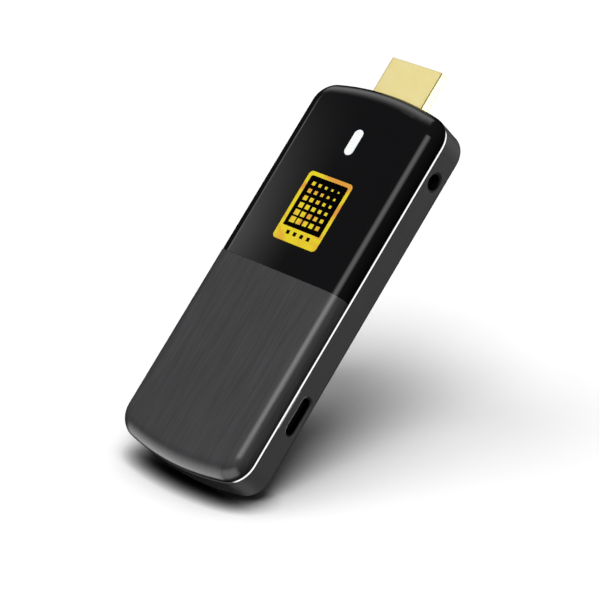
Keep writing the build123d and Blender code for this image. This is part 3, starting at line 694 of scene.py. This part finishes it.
class STICK_OT_thermal_pads(StickOperator):
    """Soft filled silicone with pits and grains"""

    bl_idname = "stick.thermal_pads"
    bl_label = "Thermal Pads"

    def execute(self, context):
        look = context.scene.stick_inside
        finish = Finish("pad_silicone", Subsurface_Weight=0.1, Subsurface_Scale=0.3 * MM)
        where = finish.millimetres()
        grain = finish.noise(where, 0.2, detail=4, rough=0.7)
        pits = finish.spread(finish.cells(where, 0.8), 0.0, 0.2)
        deep = tint(look.pad_colour, 0.75)
        finish.wire(BASE, finish.blend(grain, deep, tint(look.pad_colour)))
        finish.roughen(grain, 0.6, 0.8)
        finish.bump(finish.maths("MULTIPLY", grain, pits), 0.03, 0.6)
        finish.dress("pad_silicone", "thermal_pads")
        return {"FINISHED"}


class STICK_OT_heat_spreader(StickOperator):
    """Plain aluminium with drawing lines along its fins"""

    bl_idname = "stick.heat_spreader"
    bl_label = "Heat Spreader"

    def execute(self, context):
        finish = Finish("spreader_aluminium", Metallic=1.0, Anisotropic=0.4)
        lines = finish.noise(finish.millimetres((1, 0.03, 1)), 0.12, detail=3)
        stain = finish.noise(finish.millimetres(), 4.0, detail=4)
        tone = finish.blend(finish.spread(stain, 0.3, 0.7), grey(0.7, 0.01), grey(0.56, 0.01))
        finish.wire(BASE, tone)
        finish.roughen(lines, 0.28, 0.42)
        finish.wire("Tangent", finish.lines_along_y())
        finish.bump(lines, 0.005, 0.5)
        finish.dress("spreader_aluminium", "heat_spreader")
        return {"FINISHED"}


class STICK_OT_ferrites(StickOperator):
    """Pressed ferrite with sparkling grains"""

    bl_idname = "stick.ferrites"
    bl_label = "Inductors and Chokes"

    def execute(self, context):
        finish = Finish("ferrite")
        where = finish.millimetres()
        grain = finish.noise(where, 0.08, detail=4, rough=0.7)
        sparks = finish.spread(finish.cells(where, 0.12), 0.0, 0.25, 1.0, 0.0)
        finish.wire(BASE, finish.blend(grain, grey(0.03), grey(0.075)))
        finish.wire(METAL, finish.maths("MULTIPLY", sparks, 0.6))
        finish.roughen(grain, 0.4, 0.62)
        finish.bump(grain, 0.02, 0.7)
        finish.dress("ferrite", "power_inductors", "filter_chokes")
        return {"FINISHED"}


class STICK_OT_capacitors(StickOperator):
    """Tan ceramic between two tinned ends"""

    bl_idname = "stick.capacitors"
    bl_label = "Capacitors"

    # The row's pitch along X, a capacitor's length and its tinned ends' length, in millimetres
    PITCH = 2.4
    LENGTH = 1.6
    END_LENGTH = 0.35

    def execute(self, context):
        look = context.scene.stick_inside
        finish = Finish("capacitor_ceramic")
        where = finish.millimetres()
        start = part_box("capacitors")[0].x / MM
        along = finish.maths("SUBTRACT", finish.axis("X", where), start)
        turns = finish.maths("FRACT", finish.maths("DIVIDE", along, self.PITCH))
        along = finish.maths("MULTIPLY", turns, self.PITCH)
        off = finish.maths("ABSOLUTE", finish.maths("SUBTRACT", along, self.LENGTH / 2))
        end = finish.maths("GREATER_THAN", off, self.LENGTH / 2 - self.END_LENGTH)
        grain = finish.noise(where, 0.15, detail=3)
        dark = tint(look.ceramic_colour, 0.75)
        body = finish.blend(grain, dark, tint(look.ceramic_colour))
        finish.wire(BASE, finish.blend(end, body, grey(0.6)))
        finish.wire(METAL, end)
        finish.roughen(grain, 0.3, 0.5)
        finish.bump(grain, 0.008, 0.5)
        finish.dress("capacitor_ceramic", "capacitors")
        return {"FINISHED"}


class STICK_OT_status_lamp(StickOperator):
    """Clear resin over a yellow phosphor"""

    bl_idname = "stick.status_lamp"
    bl_label = "Status Lamp"

    # Radii in millimetres over which the spot of phosphor ends
    PHOSPHOR = (0.35, 0.5)

    def execute(self, context):
        look = context.scene.stick_inside
        finish = Finish("lamp_resin", Roughness=0.12, Coat_Weight=0.4)
        low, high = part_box("status_lamp")
        middle = (low + high) / 2
        shift = [-value / MM for value in middle]
        spot = finish.add("VectorMath", {0: finish.millimetres(shift=shift)}, operation="LENGTH")
        cloud = finish.noise(finish.millimetres(), 0.15, detail=3)
        pale = finish.blend(cloud, grey(0.75), grey(0.85))
        phosphor = finish.spread(spot.outputs["Value"], *self.PHOSPHOR, 1.0, 0.0, smooth=True)
        finish.wire(BASE, finish.blend(phosphor, pale, tint(look.resin_colour)))
        finish.bump(cloud, 0.003, 0.4)
        finish.dress("lamp_resin", "status_lamp")
        return {"FINISHED"}


def shine_on(light, *names):
    """Keeps a lamp or a card to these nodes."""
    lit = bpy.data.collections.new(light.name + "_lit")
    for name in names:
        lit.objects.link(nodes[name])
    light.light_linking.receiver_collection = lit


def square(name, half):
    """A level square whose sides lie half its width from its middle."""
    mesh = bpy.data.meshes.new(name)
    form = bmesh.new()
    bmesh.ops.create_grid(form, x_segments=1, y_segments=1, size=half)
    form.to_mesh(mesh)
    form.free()
    piece = bpy.data.objects.new(name, mesh)
    bpy.context.scene.collection.objects.link(piece)
    return piece


def card(name, centre, aim, size, along=(0, 1, 0)):
    """A flat card that only mirrors see. Its face looks at the aim and its length runs along."""
    piece = square(name, 0.5)
    centre = Vector(centre)
    face = (Vector(aim) - centre).normalized()
    length = Vector(along)
    length = (length - face * length.dot(face)).normalized()
    place = Matrix((length.cross(face), length, face)).transposed().to_4x4()
    place.translation = centre
    piece.matrix_world = place @ Matrix.Diagonal((*size, 1, 1))
    piece.visible_camera = False
    piece.visible_diffuse = False
    piece.visible_shadow = False
    return piece


def glow(finish, piece, share, level):
    """Lets a clear card shine from its face, by a share of a level. It hides nothing behind it."""
    front = finish.maths("SUBTRACT", 1.0, finish.add("NewGeometry").outputs["Backfacing"])
    strength = finish.maths("MULTIPLY", finish.maths("MULTIPLY", share, front), level)
    light = finish.add("Emission", {"Strength": strength})
    clear = finish.add("BsdfTransparent")
    both = finish.add("AddShader", {0: light.outputs[0], 1: clear.outputs[0]})
    finish.tree.links.new(both.outputs[0], finish.output.inputs["Surface"])
    piece.data.materials.append(finish.material)


def softbox(name, centre, size, level, soft, aim=None, along=(0, 1, 0), power=1.0, only=()):
    """A glowing card, which looks straight down unless it has an aim.

    Soft holds the shares of its width and of its length over which it fades, at each end of
    both. The fade is smooth, or else straight to a power. It lights every piece, or only some.
    """
    piece = card(name, centre, aim or (*centre[:2], 0), size, along)
    finish = Finish(name)
    split = finish.add("SeparateXYZ", {"Vector": finish.add("TexCoord").outputs["Generated"]})
    smooth = power == 1
    share = 1.0
    for letter, near, far in (("X", soft[0], soft[1]), ("Y", soft[2], soft[3])):
        rise = finish.spread(split.outputs[letter], 0.0, near, smooth=smooth)
        fall = finish.spread(split.outputs[letter], 1.0 - far, 1.0, 1.0, 0.0, smooth=smooth)
        share = finish.maths("MULTIPLY", share, finish.maths("MULTIPLY", rise, fall))
    glow(finish, piece, finish.maths("POWER", share, power), level)
    if only:
        shine_on(piece, *only)


def ring_light(name, height, radius, level, only, left=0.0):
    """A glowing ring that faces up. Left is the share of its level on the left."""
    # Its middle, how far it reaches to either side of the radius, and where on X its level rises
    middle = (0.015, 0)
    reach = 0.09
    rise = (-0.05, 0.02)
    size = 2 * (radius + reach)
    piece = card(name, (*middle, height), (*middle, 1), (size, size))
    finish = Finish(name)
    local = finish.add("TexCoord").outputs["Object"]
    away = finish.add("VectorMath", {0: local}, operation="LENGTH").outputs["Value"]
    beyond = finish.maths("SUBTRACT", finish.maths("MULTIPLY", away, size), radius)
    off = finish.maths("ABSOLUTE", beyond)
    share = finish.spread(off, reach / 2, reach, 1.0, 0.0, smooth=True)
    world = finish.add("NewGeometry").outputs["Position"]
    right = finish.spread(finish.axis("X", world), *rise, left, 1.0)
    glow(finish, piece, finish.maths("MULTIPLY", share, right), level)
    shine_on(piece, *only)


class STICK_OT_studio(StickOperator):
    """Camera, pale floor, white surroundings, lamps and the cards that the gloss reflects"""

    bl_idname = "stick.studio"
    bl_label = "Studio"

    # The point near the stick's middle that the camera looks at
    AIM = Vector((-0.19, -1.28, -0.27)) * MM

    # Half the floor's width, and its gap under the stick
    FLOOR_HALF = 1.5
    FLOOR_GAP = 0.03 * MM

    # Reach of the painted soft shadow and of the painted dark line where the stick stands, each
    # with the shares of open sky at which the floor is black and at which it is clear
    SHADOW = 0.2
    SHADOW_SKY = (-0.295, 0.844)
    CONTACT = 5.5 * MM
    CONTACT_SKY = (0.2, 1.0)

    def execute(self, context):
        studio = context.scene.stick_studio
        self.camera(context.scene, studio)
        self.floor(studio)
        self.surroundings(context.scene, studio)
        self.lamp("key", studio)
        self.lamp("second", studio)
        shine_on(self.lamp("side", studio), *SIDE_PIECES)
        under = self.lamp("under", studio)
        shine_on(under, *nodes)
        # The floor doesn't keep this lamp's light from the stick
        under.light_linking.blocker_collection = under.light_linking.receiver_collection
        self.cards()
        context.scene.view_settings.view_transform = "Standard"
        return {"FINISHED"}

    def camera(self, scene, studio):
        """Camera at the photograph's angle, aimed near the middle of the stick."""
        turn, rise = studio.azimuth, studio.elevation
        back = Vector(
            (math.sin(turn) * math.cos(rise), -math.cos(turn) * math.cos(rise), math.sin(rise))
        )
        right = Vector((math.cos(turn), math.sin(turn), 0))
        up = back.cross(right)
        roll = Matrix.Rotation(studio.roll, 3, back)
        right, up = roll @ right, roll @ up
        data = bpy.data.cameras.new("camera")
        data.sensor_width = 36
        data.lens = studio.focal
        data.clip_start = 0.01
        data.clip_end = 20
        camera = bpy.data.objects.new("camera", data)
        scene.collection.objects.link(camera)
        place = Matrix((right, up, back)).transposed().to_4x4()
        place.translation = self.AIM + back * studio.distance
        camera.matrix_world = place
        scene.camera = camera

    def floor(self, studio):
        """Wide pale floor that the far end stands on, with a painted shadow where the stick hides
        its sky. It is clear from below and in mirrors.
        """
        floor = square("floor", self.FLOOR_HALF)
        normal = Vector((0, math.sin(studio.lean), math.cos(studio.lean)))
        lowest = min(normal.dot(vertex.co) for vertex in nodes["lower_case"].data.vertices)
        floor.location = normal * (lowest - self.FLOOR_GAP)
        floor.rotation_euler.x = -studio.lean
        floor.visible_glossy = False
        floor.visible_diffuse = False
        finish = Finish("floor_white", Roughness=0.9, Specular_IOR_Level=0.0)
        cloud = finish.noise(finish.millimetres(), 30.0, detail=2)
        dull = tint(studio.floor_colour, 0.98)
        # Painted shadow: the floor's colour goes to black where the stick hides its sky
        open_sky = finish.spread(self.sky(finish, self.SHADOW), *self.SHADOW_SKY)
        beside = finish.spread(self.sky(finish, self.CONTACT), *self.CONTACT_SKY)
        lit = finish.maths("MULTIPLY", open_sky, beside)
        pale = finish.blend(cloud, dull, tint(studio.floor_colour))
        finish.wire(BASE, finish.blend(lit, grey(0.0), pale))
        back = finish.add("NewGeometry").outputs["Backfacing"]
        finish.wire("Alpha", finish.maths("SUBTRACT", 1.0, back))
        floor.data.materials.append(finish.material)

    def sky(self, finish, reach):
        """How open the surface is, from 0 to 1, to what stands within reach."""
        return finish.add("AmbientOcclusion", {"Distance": reach}, samples=12).outputs["AO"]

    def surroundings(self, scene, studio):
        """White all round for the camera, a plain fill for surfaces and dark for mirrors."""
        world = bpy.data.worlds.new("surroundings")
        world.use_nodes = True
        tree = world.node_tree
        tree.nodes.clear()
        ray = add_node(tree, "LightPath").outputs
        inputs = {0: ray["Is Camera Ray"], 1: ray["Is Transmission Ray"]}
        seen = add_node(tree, "Math", inputs, operation="MAXIMUM")
        inputs = {0: ray["Is Diffuse Ray"], 1: studio.fill}
        fill = add_node(tree, "Math", inputs, operation="MULTIPLY")
        inputs = {0: seen.outputs[0], 1: fill.outputs[0]}
        level = add_node(tree, "Math", inputs, operation="MAXIMUM")
        inputs = {"Color": grey(1.0), "Strength": level.outputs[0]}
        light = add_node(tree, "Background", inputs)
        add_node(tree, "OutputWorld", {"Surface": light.outputs[0]})
        scene.world = world

    def lamp(self, name, studio):
        """A far, broad lamp that mirrors don't see, from the settings that have its name."""
        azimuth = getattr(studio, name + "_azimuth")
        elevation = getattr(studio, name + "_elevation")
        data = bpy.data.lights.new(name, "SUN")
        data.energy = getattr(studio, name) * math.pi
        data.angle = getattr(studio, name + "_size")
        lamp = bpy.data.objects.new(name, data)
        bpy.context.scene.collection.objects.link(lamp)
        flat = math.cos(elevation)
        toward = Vector((math.cos(azimuth) * flat, math.sin(azimuth) * flat, math.sin(elevation)))
        lamp.rotation_mode = "QUATERNION"
        lamp.rotation_quaternion = toward.to_track_quat("Z", "Y")
        lamp.visible_glossy = False
        return lamp

    def cards(self):
        """Softboxes and rings, each placed where its pieces mirror it to the camera."""
        up = (0, 0, 1)
        plug_end = (0, 0.04, 0.01)
        far_end = (0, -0.04, 0.01)
        gloss = ("gloss_cover",)
        plug = ("video_plug_shell",)
        covers = ("gloss_cover", "brushed_cover")
        side = tuple(name for name in SIDE_PIECES if name != "power_socket_tongue")
        # The streak along the right edge of both covers
        softbox(
            "strip_right",
            centre=(0.158, 0.077, 0.419),
            size=(0.45, 0.3),
            level=2.2,
            soft=(0.5, 0.5, 0.2, 0.2),
            aim=(0, 0, 0.01),
        )
        # The sheen on the left of the gloss cover, and the line along its left edge
        softbox(
            "sheet_left",
            centre=(-0.261, 0.0825, 0.261),
            size=(0.1, 0.105),
            level=1.15,
            soft=(0.28, 0.2, 0.15, 0.62),
            power=1.5,
            only=gloss,
        )
        softbox(
            "line_left",
            centre=(-0.315, 0.055, 0.261),
            size=(0.09, 0.22),
            level=1.9,
            soft=(0.2, 0.2, 0.2, 0.2),
            only=gloss,
        )
        # The plug's upper face
        softbox(
            "sky_plug",
            centre=(-0.21, 0.142, 0.261),
            size=(0.2, 0.13),
            level=1.0,
            soft=(0.2, 0.2, 0.15, 0.2),
            only=plug,
        )
        # The covers' bent rims at the plug's end and at the far end
        softbox(
            "box_front",
            centre=(-0.272, 0.442, 0.17),
            size=(0.66, 0.7),
            level=1.35,
            soft=(0.26, 0.17, 0.45, 0.6),
            aim=plug_end,
            along=up,
            only=covers,
        )
        softbox(
            "box_end",
            centre=(-0.29, -0.4, 0.05),
            size=(0.6, 0.9),
            level=1.55,
            soft=(0.3, 0.4, 0.2, 0.6),
            aim=far_end,
            along=up,
            only=covers,
        )
        softbox(
            "box_turn",
            centre=(0.1, -0.44, 0.06),
            size=(0.66, 0.75),
            level=1.2,
            soft=(0.2, 0.4, 0.3, 0.35),
            aim=far_end,
            along=up,
            only=("brushed_cover",),
        )
        # The case's corner at the far end
        softbox(
            "box_corner",
            centre=(0.02, -0.36, -0.35),
            size=(0.4, 0.3),
            level=2.2,
            soft=(0.4, 0.4, 0.4, 0.4),
            aim=(0, -0.04, 0),
            along=up,
            only=("lower_case",),
        )
        # The sides all round, each ring at a height of its own
        ring_light("ring_trim", -0.25, 0.222, 1.15, ("trim_ring",), left=0.08)
        ring_light("ring_plug", -0.255, 0.226, 5.7, plug)
        ring_light("ring_case", -0.26, 0.23, 2.0, side)


STEPS = (
    STICK_OT_lower_case,
    STICK_OT_trim_ring,
    STICK_OT_gloss_cover,
    STICK_OT_brushed_cover,
    STICK_OT_badge,
    STICK_OT_light_guide,
    STICK_OT_video_plug,
    STICK_OT_black_mouldings,
    STICK_OT_contacts,
    STICK_OT_power_socket,
    STICK_OT_steel_parts,
    STICK_OT_screws,
    STICK_OT_boards,
    STICK_OT_chips,
    STICK_OT_thermal_pads,
    STICK_OT_heat_spreader,
    STICK_OT_ferrites,
    STICK_OT_capacitors,
    STICK_OT_status_lamp,
    STICK_OT_studio,
)


class STICK_PT_looks(bpy.types.Panel):
    """Lists the steps that dress the stick, and their settings"""

    bl_idname = "STICK_PT_looks"
    bl_label = "Streaming Stick"
    bl_space_type = "VIEW_3D"
    bl_region_type = "UI"
    bl_category = "Stick"

    def draw(self, context):
        for step in STEPS:
            self.layout.operator(step.bl_idname)
        for settings in GROUPS:
            group = getattr(context.scene, settings)
            box = self.layout.box()
            for name in group.__annotations__:
                box.prop(group, name)


GROUPS = {
    "stick_outside": StickOutside,
    "stick_inside": StickInside,
    "stick_studio": StickStudio,
}


def register():
    for name, group in GROUPS.items():
        bpy.utils.register_class(group)
        setattr(bpy.types.Scene, name, PointerProperty(type=group))
    for step in STEPS:
        bpy.utils.register_class(step)
    bpy.utils.register_class(STICK_PT_looks)


def unregister():
    bpy.utils.unregister_class(STICK_PT_looks)
    for step in reversed(STEPS):
        bpy.utils.unregister_class(step)
    for name, group in GROUPS.items():
        delattr(bpy.types.Scene, name)
        bpy.utils.unregister_class(group)


def main():
    """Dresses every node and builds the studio."""
    register()
    for step in STEPS:
        area, name = step.bl_idname.split(".")
        getattr(getattr(bpy.ops, area), name)()


if __name__ == "__main__":
    main()
